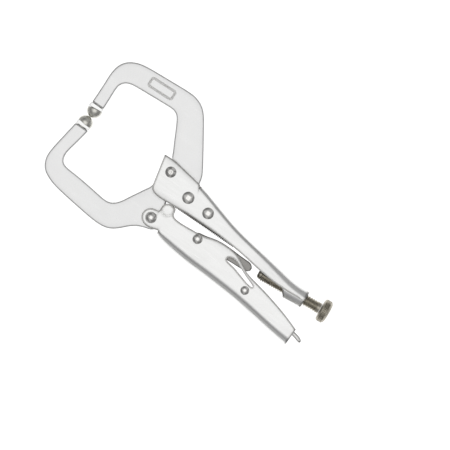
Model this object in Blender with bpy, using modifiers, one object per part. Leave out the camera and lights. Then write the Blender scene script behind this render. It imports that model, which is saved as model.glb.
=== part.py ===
# C-clamp locking pliers: jaws, nested channel handles, toggle link and adjusting screw.
# Metres, +Z up. The tool lies on its side. The jaw pivot axis is X = Y = 0,
# +X runs back to the adjusting knob and +Y points to the fixed jaw's side.
import bpy
import bmesh
import math
from mathutils import Matrix, Vector

mm = 0.001

# driving dimensions, in millimetres
midZ = 7.8            # height of the tool's middle plane over the lower rivet flat
jawHalf = 3.0         # half thickness of the forged jaws
hubHalf = 4.7         # half thickness of the bosses between the cheeks
innerFace = 3.3       # inner face of the movable handle's sides
outerFace = 4.7       # outer face of the movable handle's sides
cheekIn = 5.0         # inner face of the fixed handle's cheeks
cheekOut = 6.6        # outer face of the fixed handle's cheeks
gap = 0.3             # clearance between pieces that touch
ballRadius = 3.7      # round nose of each jaw tip

pivotA = (0.0, 0.0)          # movable jaw on fixed handle
pivotB = (14.5, -5.5)        # fixed jaw's front rivet
pivotR = (27.0, -6.2)        # fixed jaw's rear rivet
pivotC = (4.8, -24.2)        # movable handle on movable jaw
pivotP = (30.0, -19.7)       # toggle link on movable handle
pivotL = (64.0, -27.2)       # release lever on movable handle
linkEnd = (58.0, -16.8)      # middle of the link's rear nose
springHook = (4.0, -11.9)    # hook hole in the movable jaw
springTab = (52.0, -11.4)    # hook hole in the spine's tab

screwTip = 64.6              # X of the screw's front end
screwRadius = 2.9
knobFront = 100.3
knobRear = 105.2
knobRadius = 6.0
screwSlope = 0.0875          # the screw rises to the rear
screwAt91 = -13.9


def clearScene():
    for item in list(bpy.data.objects):
        bpy.data.objects.remove(item, do_unlink=True)
    for mesh in list(bpy.data.meshes):
        bpy.data.meshes.remove(mesh)


clearScene()
parts = bpy.data.collections.new("locking_pliers")
cutters = bpy.data.collections.new("cutters")
bpy.context.scene.collection.children.link(parts)
bpy.context.scene.collection.children.link(cutters)


def makeMaterial(name, colour, roughness, metallic=1.0):
    material = bpy.data.materials.new(name)
    material.use_nodes = True
    shader = material.node_tree.nodes["Principled BSDF"]
    shader.inputs["Base Color"].default_value = (*colour, 1.0)
    shader.inputs["Roughness"].default_value = roughness
    shader.inputs["Metallic"].default_value = metallic
    return material


satinNickel = (0.80, 0.80, 0.79)
brightNickel = (0.86, 0.86, 0.85)
warmNickel = (0.56, 0.53, 0.49)


def meshObject(name, mesh, collection):
    item = bpy.data.objects.new(name, mesh)
    collection.objects.link(item)
    return item


def roundedOutline(points, steps=4):
    # each point is (x, y) or (x, y, fillet radius); arcs replace the filleted corners
    outline = []
    count = len(points)
    for i in range(count):
        here = Vector(points[i][:2])
        radius = points[i][2] if len(points[i]) > 2 else 0.0
        if radius <= 0.0:
            outline.append((here.x, here.y))
            continue
        back = (Vector(points[i - 1][:2]) - here).normalized()
        ahead = (Vector(points[(i + 1) % count][:2]) - here).normalized()
        half = 0.5 * back.angle(ahead)
        reach = radius / math.tan(half)
        centre = here + (back + ahead).normalized() * (radius / math.sin(half))
        first = here + back * reach - centre
        last = here + ahead * reach - centre
        sweep = first.angle_signed(last)
        for k in range(steps + 1):
            turned = Matrix.Rotation(-sweep * k / steps, 2) @ first
            outline.append((centre.x + turned.x, centre.y + turned.y))
    return outline


def arcPoints(centre, radius, start, end, steps):
    found = []
    for k in range(steps + 1):
        angle = math.radians(start + (end - start) * k / steps)
        found.append((centre[0] + radius * math.cos(angle), centre[1] + radius * math.sin(angle)))
    return found


def plate(name, outlines, low, high, collection, origin=(0.0, 0.0)):
    # a flat outline (the later outlines are holes) filled between two heights
    curve = bpy.data.curves.new(name + "_outline", "CURVE")
    curve.dimensions = "2D"
    curve.fill_mode = "BOTH"
    curve.extrude = 0.5 * (high - low) * mm
    for outline in outlines:
        spline = curve.splines.new("POLY")
        spline.points.add(len(outline) - 1)
        for point, place in zip(spline.points, outline):
            point.co = ((place[0] - origin[0]) * mm, (place[1] - origin[1]) * mm, 0.0, 1.0)
        spline.use_cyclic_u = True
    guide = bpy.data.objects.new(name + "_curve", curve)
    collection.objects.link(guide)
    guide.location = (origin[0] * mm, origin[1] * mm, (midZ + 0.5 * (low + high)) * mm)
    bpy.context.view_layer.update()
    graph = bpy.context.evaluated_depsgraph_get()
    mesh = bpy.data.meshes.new_from_object(guide.evaluated_get(graph))
    shape = bmesh.new()
    shape.from_mesh(mesh)
    bmesh.ops.remove_doubles(shape, verts=shape.verts, dist=0.000001)
    bmesh.ops.recalc_face_normals(shape, faces=shape.faces)
    shape.to_mesh(mesh)
    shape.free()
    item = meshObject(name, mesh, collection)
    item.matrix_world = guide.matrix_world.copy()
    bpy.data.objects.remove(guide, do_unlink=True)
    return item


def cylinder(name, centre, radius, low, high, collection, segments=32):
    bm = bmesh.new()
    bmesh.ops.create_cone(bm, cap_ends=True, segments=segments, radius1=radius * mm,
                          radius2=radius * mm, depth=(high - low) * mm)
    mesh = bpy.data.meshes.new(name)
    bm.to_mesh(mesh)
    bm.free()
    item = meshObject(name, mesh, collection)
    item.location = (centre[0] * mm, centre[1] * mm, (midZ + 0.5 * (low + high)) * mm)
    return item


def turned(name, profile, centre, collection, steps=32):
    # profile is (radius, height) from the top axis point down to the bottom axis point
    bm = bmesh.new()
    verts = [bm.verts.new((r * mm, 0.0, z * mm)) for r, z in profile]
    for a, b in zip(verts, verts[1:]):
        bm.edges.new((a, b))
    mesh = bpy.data.meshes.new(name)
    bm.to_mesh(mesh)
    bm.free()
    item = meshObject(name, mesh, collection)
    item.location = (centre[0] * mm, centre[1] * mm, midZ * mm)
    spin = item.modifiers.new("turn", "SCREW")
    spin.steps = steps
    spin.render_steps = steps
    spin.use_merge_vertices = True
    spin.merge_threshold = 0.00001
    spin.use_smooth_shade = True
    return item


def addBevel(item, width, segments=2, angle=40.0):
    bevel = item.modifiers.new("edges", "BEVEL")
    bevel.width = width * mm
    bevel.segments = segments
    bevel.limit_method = "ANGLE"
    bevel.angle_limit = math.radians(angle)
    return bevel


def boolean(item, other, operation):
    step = item.modifiers.new(operation.lower(), "BOOLEAN")
    step.operation = operation
    step.solver = "EXACT"
    step.object = other
    other.hide_render = True
    other.display_type = "WIRE"
    return step


def baked(item):
    # the object with its modifiers worked into its mesh, ready to be joined or cut
    bpy.context.view_layer.update()
    graph = bpy.context.evaluated_depsgraph_get()
    mesh = bpy.data.meshes.new_from_object(item.evaluated_get(graph))
    item.modifiers.clear()
    item.data = mesh
    return item


def finish(item, materialName, colour, roughness):
    item.data.materials.clear()
    item.data.materials.append(makeMaterial(materialName, colour, roughness))
    return item


def screwY(x):
    return screwAt91 + (x - 91.0) * screwSlope


# fixed jaw: one forging, the arm of the C and the tail between the cheeks
def fixedJaw():
    outer = [(-52.5, 5.9), (-52.6, 13.8), (-53.0, 22.6), (-52.4, 27.6), (-50.7, 31.1), (-47.6, 33.8),
             (-43.2, 35.8), (-37.9, 36.5), (-29.3, 37.2), (-15.0, 38.1), (-9.3, 37.1), (-5.5, 35.2),
             (-2.4, 32.4), (5.6, 20.6), (14.2, 7.6), (15.3, 3.0), (15.3, 0.9, 0.8), (22.0, -0.9)]
    tail = [(31.4, -3.4, 3.0), (31.0, -9.9, 3.0), (22.0, -9.9), (18.4, -9.0)]
    bossSide = arcPoints(pivotB, 4.2, -60.0, -150.0, 5)
    hubSide = arcPoints(pivotA, 6.3, 2.0, 88.0, 8)
    inner = [(-2.6, 6.6), (-4.2, 7.4, 0.8), (-7.4, 13.1), (-11.1, 20.5), (-13.7, 24.5), (-15.9, 25.8),
             (-18.3, 26.2), (-29.4, 25.5), (-37.3, 24.9), (-41.8, 24.3), (-44.1, 22.9), (-45.7, 21.0),
             (-46.2, 18.7), (-46.0, 13.8), (-45.7, 5.9)]
    outline = roundedOutline(outer + tail) + bossSide + [(9.2, -3.6)] + hubSide + roundedOutline(inner)
    item = plate("fixed_jaw", [outline], -jawHalf, jawHalf, parts)
    addBevel(item, 0.8, 1)
    baked(item)
    ball = jawBall("fixed_ball", (-49.0, 3.55))
    boolean(item, ball, "UNION")
    for name, place in (("front_boss", pivotB), ("rear_boss", pivotR)):
        boss = cylinder("fixed_" + name, place, 3.6, -hubHalf, hubHalf, cutters)
        boolean(item, boss, "UNION")
    for name, place in (("front_hole", pivotB), ("rear_hole", pivotR)):
        hole = cylinder("fixed_" + name, place, 2.1 + gap, -8.0, 8.0, cutters)
        boolean(item, hole, "DIFFERENCE")
    return finish(item, "satin_nickel_fixed_jaw", satinNickel, 0.34)


def jawBall(name, centre):
    bm = bmesh.new()
    bmesh.ops.create_uvsphere(bm, u_segments=20, v_segments=12, radius=ballRadius * mm)
    mesh = bpy.data.meshes.new(name)
    bm.to_mesh(mesh)
    bm.free()
    item = meshObject(name, mesh, cutters)
    item.location = (centre[0] * mm, centre[1] * mm, midZ * mm)
    return item


# movable jaw: the other arm, turning on rivet A and carrying the handle on rivet C
def movableJaw():
    outer = [(-7.4, -11.6), (-5.2, -7.6)] + arcPoints(pivotA, 5.9, 215.0, -20.0, 14)
    neck = [(4.9, -5.2), (5.3, -10.4), (5.9, -13.4), (7.6, -16.6), (9.0, -19.0)]
    tail = arcPoints(pivotC, 6.2, 40.0, -44.0, 8) + [(9.4, -29.3)]
    arm = [(5.4, -30.1), (1.5, -31.6), (-1.2, -33.6), (-5.0, -37.8), (-8.1, -40.4), (-12.8, -42.0),
           (-16.9, -42.0), (-28.4, -40.9), (-39.4, -39.5), (-45.5, -38.4), (-50.1, -36.6),
           (-53.3, -33.9), (-55.3, -30.3), (-55.7, -25.6), (-54.4, -15.6), (-53.2, -6.9)]
    inner = [(-45.7, -6.5), (-47.1, -15.5), (-48.2, -20.4), (-47.8, -25.1), (-45.9, -27.1),
             (-42.5, -28.0), (-33.0, -28.4), (-23.8, -29.8), (-17.7, -30.1), (-14.6, -28.7),
             (-12.1, -26.4), (-8.4, -18.6)]
    outline = outer + roundedOutline(neck) + tail + arm + inner
    item = plate("movable_jaw", [outline], -jawHalf, jawHalf, parts)
    addBevel(item, 0.8, 1)
    baked(item)
    boolean(item, jawBall("movable_ball", (-49.3, -4.35)), "UNION")
    boolean(item, cylinder("movable_hub", pivotA, 4.9, -hubHalf, hubHalf, cutters, 40), "UNION")
    for name, place, radius in (("pivot", pivotA, 2.6), ("handle", pivotC, 2.4), ("spring", springHook, 0.9)):
        hole = cylinder("movable_hole_" + name, place, radius, -8.0, 8.0, cutters, 24)
        boolean(item, hole, "DIFFERENCE")
    return finish(item, "satin_nickel_movable_jaw", satinNickel, 0.34)


def channelSection(half, top, bottom, corner, steps=4):
    # half a U of sheet seen along X: from the open lip up the side and round to the middle
    way = 1.0 if top > bottom else -1.0
    places = [(half, bottom), (half, 0.5 * (bottom + top - way * corner))]
    for k in range(steps + 1):
        angle = 0.5 * math.pi * k / steps
        places.append((half - corner + corner * math.cos(angle), top - way * corner * (1.0 - math.sin(angle))))
    places.append((0.0, top))
    return places


def channel(name, stations, sheet, collection):
    # open sheet lofted through U sections, then given its thickness inwards
    bm = bmesh.new()
    rows = []
    for x, half, top, bottom, corner in stations:
        section = channelSection(half, top, bottom, corner)
        other = [(-z, y) for z, y in section[-2::-1]]
        rows.append([bm.verts.new((x * mm, y * mm, z * mm)) for z, y in section + other])
    for a, b in zip(rows, rows[1:]):
        for i in range(len(a) - 1):
            bm.faces.new((a[i], a[i + 1], b[i + 1], b[i]))
    bmesh.ops.recalc_face_normals(bm, faces=bm.faces)
    # the middle of the web decides which way is out
    bm.faces.ensure_lookup_table()
    mid = bm.faces[len(rows[0]) // 2]
    way = 1.0 if stations[0][2] > stations[0][3] else -1.0
    if mid.normal.y * way < 0.0:
        bmesh.ops.reverse_faces(bm, faces=bm.faces)
    mesh = bpy.data.meshes.new(name)
    bm.to_mesh(mesh)
    bm.free()
    item = meshObject(name, mesh, collection)
    item.location = (0.0, 0.0, midZ * mm)
    shell = item.modifiers.new("sheet", "SOLIDIFY")
    shell.thickness = sheet * mm
    shell.offset = -1.0
    shell.use_even_offset = True
    return item


# fixed handle: two cheeks in front, a U channel behind them and the threaded tube at the end
def fixedHandle():
    stations = [(15.7, cheekOut, 3.0, -12.3, 2.8), (28.0, cheekOut, 0.0, -12.1, 2.8),
                (40.0, cheekOut, -3.4, -12.2, 2.8), (52.0, cheekOut, -5.6, -13.1, 2.8),
                (64.0, 6.3, -7.1, -14.8, 3.0), (72.0, 5.7, -8.2, -15.6, 3.6),
                (79.0, 5.0, -9.4, -15.4, 4.0), (84.0, 4.6, -9.9, -14.6, 4.3)]
    item = channel("fixed_handle", stations, 1.6, parts)
    baked(item)
    cheek = [(-7.4, 5.3, 1.0), (-0.5, 4.7), (15.6, 2.9), (26.0, -2.6), (26.0, -12.1), (17.1, -12.4),
             (2.2, -14.7, 2.6), (-2.6, -13.6, 2.6), (-4.2, -9.3)]
    outline = roundedOutline(cheek)
    for name, low, high in (("upper", cheekIn, cheekOut), ("lower", -cheekOut, -cheekIn)):
        side = plate("fixed_cheek_" + name, [outline], low, high, cutters)
        boolean(item, side, "UNION")
    tube = turned("fixed_tube", [(0.0, 7.0), (4.1, 7.0), (4.5, 6.6), (4.5, -6.6), (4.1, -7.0), (0.0, -7.0)],
                  (0.0, 0.0), cutters)
    tilt = math.atan(screwSlope)
    tube.rotation_euler = (0.0, math.pi / 2.0, tilt)
    tube.location = (84.3 * mm, screwY(84.3) * mm, midZ * mm)
    boolean(item, tube, "UNION")
    tab = plate("fixed_tab", [roundedOutline([(49.2, -6.4), (54.8, -6.9), (54.0, -13.2, 1.6), (50.0, -13.2, 1.6)])],
                -0.8, 0.8, cutters)
    boolean(item, tab, "UNION")
    bore = cylinder("fixed_bore", (0.0, 0.0), screwRadius + gap, -16.0, 16.0, cutters)
    bore.rotation_euler = (0.0, math.pi / 2.0, tilt)
    bore.location = (84.3 * mm, screwY(84.3) * mm, midZ * mm)
    boolean(item, bore, "DIFFERENCE")
    for name, place, radius in (("jaw", pivotA, 2.6), ("front", pivotB, 2.4), ("rear", pivotR, 2.4),
                                ("spring", springTab, 0.9)):
        hole = cylinder("fixed_hole_" + name, place, radius, -9.0, 9.0, cutters, 24)
        boolean(item, hole, "DIFFERENCE")
    return finish(item, "satin_nickel_fixed_handle", satinNickel, 0.36)


# movable handle: ears on the jaw's pivot, then a U channel open towards the fixed handle
def movableHandle():
    stations = [(11.5, outerFace, -29.0, -18.8, 2.4), (20.0, outerFace, -31.6, -17.9, 2.4),
                (32.0, outerFace, -32.6, -17.0, 2.4), (44.0, outerFace, -33.0, -16.6, 2.4),
                (58.0, outerFace, -33.6, -19.0, 2.4), (72.0, outerFace, -35.2, -21.6, 2.4),
                (86.0, outerFace, -37.0, -25.0, 2.4), (96.0, outerFace, -37.8, -28.6, 2.4)]
    item = channel("movable_handle", stations, 1.4, parts)
    baked(item)
    ear = arcPoints(pivotC, 4.75, 118.0, 282.0, 12)
    under = [(9.3, -28.3), (11.6, -28.5), (16.0, -28.6), (16.0, -18.3), (11.6, -18.8)]
    lobe = [(12.8, -16.0), (12.4, -13.4), (7.8, -13.4)] + arcPoints((9.3, -16.0), 3.2, 150.0, 215.0, 5)
    outline = ear[::-1] + [(5.7, -19.6)] + lobe[::-1] + under[::-1]
    crest = [(33.0, -18.6), (33.4, -16.9), (36.6, -14.8, 2.0), (42.8, -14.1, 3.0), (51.6, -14.4, 3.0),
             (56.0, -18.9), (50.0, -20.5)]
    for name, low, high in (("upper", innerFace, outerFace), ("lower", -outerFace, -innerFace)):
        side = plate("handle_ear_" + name, [outline], low, high, cutters)
        boolean(item, side, "UNION")
        rise = plate("handle_crest_" + name, [roundedOutline(crest)], low, high, cutters)
        boolean(item, rise, "UNION")
    window = roundedOutline([(47.5, -19.0, 1.5), (51.5, -17.4, 1.0), (66.0, -22.0, 1.5), (62.0, -23.6, 1.5)])
    cutter = plate("handle_window", [window], -9.0, 9.0, cutters)
    boolean(item, cutter, "DIFFERENCE")
    for name, place, radius in (("jaw", pivotC, 2.4), ("link", pivotP, 2.1), ("lever", pivotL, 1.8)):
        hole = cylinder("handle_hole_" + name, place, radius, -9.0, 9.0, cutters, 24)
        boolean(item, hole, "DIFFERENCE")
    holder = finish(item, "satin_nickel_movable_handle", satinNickel, 0.36)
    return moveOrigin(holder, pivotC)


def moveOrigin(item, place):
    # the object's origin goes onto its joint's axis, the shape stays where it is
    shift = Vector((place[0] * mm, place[1] * mm, midZ * mm)) - item.location
    for step in item.modifiers:
        if step.type == "BOOLEAN":
            baked(item)
            break
    item.data.transform(Matrix.Translation(-shift))
    item.location = item.location + shift
    return item


# toggle link: flat bar between the movable handle and the screw's end
def toggleLink():
    eye = arcPoints(pivotP, 3.3, 60.0, 262.0, 12)
    nose = arcPoints(linkEnd, 2.6, -84.0, 84.0, 8)
    low = [(40.0, -20.6), (50.0, -19.6)]
    top = [(50.0, -14.2), (42.0, -14.0), (36.5, -14.9)]
    item = plate("toggle_link", [eye + low + nose + top], -2.9, 2.9, parts, pivotP)
    addBevel(item, 0.5, 1)
    baked(item)
    boolean(item, cylinder("link_hole", pivotP, 1.8 + gap, -8.0, 8.0, cutters, 24), "DIFFERENCE")
    return finish(item, "zinc_steel_toggle_link", warmNickel, 0.42)


# release lever: flat bar on its own rivet, its tail coming out at the rear
def releaseLever():
    front = [(52.0, -23.0, 1.2), (58.0, -24.6), (64.0, -23.7), (70.0, -25.2), (80.0, -28.2)]
    rear = [(90.0, -30.0), (97.0, -29.9), (101.6, -30.9, 1.3), (101.6, -33.4, 1.3), (96.0, -32.9)]
    under = [(88.0, -32.1), (78.0, -30.7), (70.0, -30.2), (64.0, -30.4), (58.0, -28.2), (52.0, -25.8, 1.2)]
    item = plate("release_lever", [roundedOutline(front + rear + under)], -2.9, 2.9, parts, pivotL)
    addBevel(item, 0.4, 1)
    baked(item)
    boolean(item, cylinder("lever_hole", pivotL, 1.5 + gap, -8.0, 8.0, cutters, 24), "DIFFERENCE")
    return finish(item, "satin_nickel_release_lever", satinNickel, 0.38)


# adjusting screw: threaded shank, shown with rings at the thread's pitch where it is in sight
def adjustingScrew():
    length = knobFront - gap - screwTip
    half = 0.5 * length
    profile = [(0.0, half), (2.2, half), (2.2, half - 0.8)]
    for k in range(7):
        start = half - 0.8 - 1.25 * k
        profile.append((screwRadius, start - 0.45))
        profile.append((2.4, start - 1.1))
    profile += [(screwRadius, half - 10.0), (screwRadius, -half + 1.4), (1.6, -half), (0.0, -half)]
    item = turned("adjusting_screw", profile, (0.0, 0.0), parts, 18)
    item.rotation_euler = (0.0, math.pi / 2.0, math.atan(screwSlope))
    middle = screwTip + half
    item.location = (middle * mm, screwY(middle) * mm, midZ * mm)
    return finish(item, "warm_nickel_adjusting_screw", warmNickel, 0.38)


# adjusting knob: knurled head on the end of the shank
def adjustingKnob():
    teeth = 28
    outline = []
    for k in range(teeth * 2):
        radius = knobRadius if k % 2 == 0 else knobRadius - 0.35
        angle = math.pi * k / teeth
        outline.append((radius * math.cos(angle), radius * math.sin(angle)))
    half = 0.5 * (knobRear - knobFront)
    item = plate("adjusting_knob", [outline], -half - midZ, half - midZ, parts)
    keep = turned("knob_form", [(0.0, half), (1.6, half), (4.0, half - 0.5), (knobRadius + 0.1, half - 1.7),
                                (knobRadius + 0.1, -half + 1.3), (5.0, -half), (0.0, -half)],
                  (0.0, 0.0), cutters, 28)
    item.location = (0.0, 0.0, 0.0)
    keep.location = (0.0, 0.0, 0.0)
    boolean(item, keep, "INTERSECT")
    baked(item)
    middle = 0.5 * (knobFront + knobRear)
    item.rotation_euler = (0.0, math.pi / 2.0, math.atan(screwSlope))
    item.location = (middle * mm, screwY(middle) * mm, midZ * mm)
    return finish(item, "warm_nickel_adjusting_knob", warmNickel, 0.4)


# rivets: a head on each side of the shank
def rivet(name, place, shank, head, face, rise, flat=0.0):
    top = face + gap + rise
    under = face + gap
    profile = [(0.0, top)]
    if flat > 0.0:
        profile += [(flat, top), (head, under + 0.35)]
    else:
        for k in range(1, 5):
            angle = 0.5 * math.pi * k / 4
            profile.append((head * math.sin(angle), under + 0.15 + (rise - 0.15) * math.cos(angle)))
    profile += [(head, under), (shank, under)]
    lower = [(r, -z) for r, z in reversed(profile)]
    item = turned(name, profile + lower, place, parts, 24)
    return finish(item, "bright_nickel_" + name, brightNickel, 0.18)


# tension spring: close coil between the movable jaw's hook hole and the spine's tab
def tensionSpring():
    start = Vector((springHook[0], springHook[1], 0.0))
    end = Vector((springTab[0], springTab[1], 0.0))
    along = (end - start).normalized()
    side = Vector((-along.y, along.x, 0.0))
    up = Vector((0.0, 0.0, 1.0))
    coilRadius = 1.25
    turns = 18
    perTurn = 6
    bodyStart = start + along * 6.4
    bodyLength = (end - start).length - 11.4
    points = hookPoints(start, along, up, jawHalf + 0.75)
    for k in range(turns * perTurn + 1):
        angle = 2.0 * math.pi * k / perTurn
        place = bodyStart + along * (bodyLength * k / (turns * perTurn))
        points.append(place + side * (coilRadius * math.cos(angle)) + up * (coilRadius * math.sin(angle)))
    points += hookPoints(end, -along, up, 0.8 + 0.75)[::-1]
    curve = bpy.data.curves.new("tension_spring_wire", "CURVE")
    curve.dimensions = "3D"
    curve.bevel_depth = 0.35 * mm
    curve.bevel_resolution = 1
    curve.use_fill_caps = True
    spline = curve.splines.new("POLY")
    spline.points.add(len(points) - 1)
    for point, place in zip(spline.points, points):
        point.co = (place.x * mm, place.y * mm, place.z * mm, 1.0)
    item = bpy.data.objects.new("tension_spring", curve)
    parts.objects.link(item)
    item.location = (0.0, 0.0, midZ * mm)
    item.data.materials.append(makeMaterial("spring_steel", (0.42, 0.40, 0.38), 0.35))
    return item


def hookPoints(place, along, up, reach):
    # an end hook: in over one face, through the hole and back under the other face
    route = [(2.6, 1.0), (0.6, 1.0), (0.0, 0.84), (0.0, 0.0), (0.0, -0.84), (0.6, -1.0), (2.8, -1.0),
             (4.4, -0.5), (5.0, 0.0)]
    return [place + along * a + up * (b * reach) for a, b in route]


fixedHandle()
fixedJaw()
movableJaw()
movableHandle()
toggleLink()
releaseLever()
adjustingScrew()
adjustingKnob()
rivet("jaw_pivot_rivet", pivotA, 2.3, 3.0, cheekOut, 0.9, 1.45)
rivet("fixed_jaw_front_rivet", pivotB, 2.1, 2.9, cheekOut, 0.85)
rivet("fixed_jaw_rear_rivet", pivotR, 2.1, 2.9, cheekOut, 0.85)
rivet("handle_pivot_rivet", pivotC, 2.1, 2.9, outerFace, 1.2)
rivet("link_rivet", pivotP, 1.8, 2.5, outerFace, 0.9)
rivet("lever_rivet", pivotL, 1.5, 2.2, outerFace, 0.8)
tensionSpring()
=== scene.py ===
import bmesh
import bpy
import math
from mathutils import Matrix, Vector


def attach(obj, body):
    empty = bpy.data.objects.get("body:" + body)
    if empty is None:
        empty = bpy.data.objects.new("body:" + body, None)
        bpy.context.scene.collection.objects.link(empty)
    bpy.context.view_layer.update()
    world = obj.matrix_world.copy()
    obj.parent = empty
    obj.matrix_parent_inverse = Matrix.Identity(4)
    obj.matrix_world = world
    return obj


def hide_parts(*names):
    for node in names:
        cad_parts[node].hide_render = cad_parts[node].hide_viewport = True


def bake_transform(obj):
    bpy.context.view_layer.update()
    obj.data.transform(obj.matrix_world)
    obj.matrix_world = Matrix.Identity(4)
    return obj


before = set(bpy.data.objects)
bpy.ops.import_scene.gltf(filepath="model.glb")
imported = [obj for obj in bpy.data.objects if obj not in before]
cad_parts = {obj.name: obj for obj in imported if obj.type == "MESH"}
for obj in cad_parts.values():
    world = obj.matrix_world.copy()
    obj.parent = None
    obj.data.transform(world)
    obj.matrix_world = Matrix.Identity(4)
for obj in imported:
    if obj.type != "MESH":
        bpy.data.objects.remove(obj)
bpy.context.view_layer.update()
mm = 0.001
midZ = 0.0078  # the pliers' middle plane, pieces are drawn about z = 0 and lifted to it

# where the rivets and the spring's hook stand, in millimetres
pivots = {"jaw": (0.0, 0.0), "front": (14.5, -5.5), "rear": (27.0, -6.2), "handle": (4.8, -24.2),
          "link": (30.0, -19.7), "lever": (64.0, -27.2), "springHook": (4.0, -11.9)}


def freshStart():
    if bpy.context.object and bpy.context.object.mode != "OBJECT":
        bpy.ops.object.mode_set(mode="OBJECT")
    bpy.ops.object.select_all(action="DESELECT")


def named(name):
    piece = bpy.context.active_object
    piece.name = name
    piece.data.name = name
    return piece


def editMode(piece, kind="VERT"):
    freshStart()
    piece.select_set(True)
    bpy.context.view_layer.objects.active = piece
    bpy.ops.object.mode_set(mode="EDIT")
    bpy.ops.mesh.select_mode(type=kind)


def pick(piece, kind, test):
    # selects the verts, edges or faces that pass the test
    mesh = bmesh.from_edit_mesh(piece.data)
    for group in (mesh.faces, mesh.edges, mesh.verts):
        for item in group:
            item.select = False
    found = [item for item in getattr(mesh, kind) if test(item)]
    for item in found:
        item.select_set(True)
    mesh.select_flush_mode()
    bmesh.update_edit_mesh(piece.data)
    return len(found)


def applied(piece, kind, **settings):
    freshStart()
    piece.select_set(True)
    bpy.context.view_layer.objects.active = piece
    step = piece.modifiers.new(kind.lower(), kind)
    for key, value in settings.items():
        setattr(step, key, value)
    bpy.ops.object.modifier_apply(modifier=step.name)


def outward(piece):
    editMode(piece)
    bpy.ops.mesh.select_all(action="SELECT")
    bpy.ops.mesh.remove_doubles(threshold=0.000002)
    bpy.ops.mesh.normals_make_consistent(inside=False)
    bpy.ops.object.mode_set(mode="OBJECT")


def placed(piece, smooth=34):
    # the finished piece: at the origin, unturned, unscaled, smooth where it is round
    freshStart()
    piece.select_set(True)
    bpy.context.view_layer.objects.active = piece
    piece.location.z += midZ
    bpy.ops.object.transform_apply(location=True, rotation=True, scale=True)
    bpy.ops.object.shade_smooth_by_angle(angle=math.radians(smooth))
    return piece


def moveEdge(old, new, height):
    # carries the selected edge from one pair of points to another
    oldMid = (Vector(old[0]) + Vector(old[1])) * 0.5 * mm
    newMid = (Vector(new[0]) + Vector(new[1])) * 0.5 * mm
    oldWay = Vector(old[0]) - Vector(old[1])
    newWay = Vector(new[0]) - Vector(new[1])
    shift = newMid - oldMid
    turn = oldWay.angle_signed(newWay)
    grow = newWay.length / oldWay.length
    centre = (newMid.x, newMid.y, height)
    bpy.ops.transform.translate(value=(shift.x, shift.y, 0.0))
    bpy.ops.transform.rotate(value=turn, orient_axis="Z", center_override=centre)
    bpy.ops.transform.resize(value=(grow, grow, 1.0), center_override=centre)


def drawStrip(name, pairs, height=0.0):
    # a flat strip that runs through pairs of points, one pair on each station
    freshStart()
    bpy.ops.mesh.primitive_plane_add(size=mm, location=(0.0, 0.0, height))
    piece = named(name)
    bpy.ops.object.transform_apply(location=True, rotation=False, scale=False)
    editMode(piece)
    pick(piece, "verts", lambda v: v.co.x < 0.0)
    moveEdge(((-0.5, 0.5), (-0.5, -0.5)), pairs[0], height)
    # the start edge is parked, so the other one is told by what was not moved
    first = [Vector((p[0] * mm, p[1] * mm, height)) for p in pairs[0]]
    pick(piece, "verts", lambda v: min((v.co - f).length for f in first) > 0.00001)
    moveEdge(((0.5, 0.5), (0.5, -0.5)), pairs[1], height)
    for old, new in zip(pairs[1:], pairs[2:]):
        bpy.ops.mesh.extrude_edges_move()
        moveEdge(old, new, height)
    bpy.ops.object.mode_set(mode="OBJECT")
    return piece


def cutAway(piece, cutter):
    applied(piece, "BOOLEAN", operation="DIFFERENCE", solver="EXACT", object=cutter)
    bpy.data.objects.remove(cutter, do_unlink=True)


def upright(name, place, radius, depth, sides=40, height=0.0):
    # a standing cylinder, drawn in millimetres
    freshStart()
    bpy.ops.mesh.primitive_cylinder_add(vertices=sides, radius=radius * mm, depth=depth * mm,
                                        location=(place[0] * mm, place[1] * mm, height * mm))
    return named(name)


def drill(piece, place, radius):
    cutAway(piece, upright("drill", place, radius, 20.0))


def smoothedSlab(name, form, keepCorners=True):
    # a strip with a smoothed outline and a thickness
    piece = drawStrip(name, form["pairs"])
    applied(piece, "SUBSURF", levels=2, render_levels=2,
            boundary_smooth="PRESERVE_CORNERS" if keepCorners else "ALL")
    applied(piece, "SOLIDIFY", thickness=form["thick"] * mm, offset=0.0)
    outward(piece)
    return piece


def roundedBox(name, place, size, corner, turn, low, high):
    # a block with round corners seen from above, used as a cutter
    freshStart()
    bpy.ops.mesh.primitive_plane_add(size=1.0, location=(place[0] * mm, place[1] * mm, low * mm),
                                     rotation=(0.0, 0.0, math.radians(turn)))
    piece = named(name)
    piece.scale = (size[0] * mm, size[1] * mm, 1.0)
    bpy.ops.object.transform_apply(location=True, rotation=True, scale=True)
    editMode(piece)
    bpy.ops.mesh.select_all(action="SELECT")
    bpy.ops.mesh.bevel(offset=corner * mm, segments=5, affect="VERTICES")
    bpy.ops.mesh.select_all(action="SELECT")
    bpy.ops.mesh.extrude_region_move(TRANSFORM_OT_translate={"value": (0.0, 0.0, (high - low) * mm)})
    bpy.ops.object.mode_set(mode="OBJECT")
    outward(piece)
    return piece


class Wire:
    # a socket that can be written in sums
    def __init__(self, graph, socket):
        self.graph = graph
        self.socket = socket

    def sum(self, operation, left, right):
        return self.graph.add("ShaderNodeMath", {"operation": operation}, {0: left, 1: right})

    def __add__(self, other):
        return self.sum("ADD", self, other)

    def __radd__(self, other):
        return self.sum("ADD", other, self)

    def __sub__(self, other):
        return self.sum("SUBTRACT", self, other)

    def __rsub__(self, other):
        return self.sum("SUBTRACT", other, self)

    def __mul__(self, other):
        return self.sum("MULTIPLY", self, other)

    def __rmul__(self, other):
        return self.sum("MULTIPLY", other, self)

    def clipped(self, low, high):
        # 0 below low, 1 above high
        return self.graph.add("ShaderNodeMapRange", {"clamp": True},
                              {"Value": self, "From Min": low, "From Max": high}, "Result")


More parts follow.
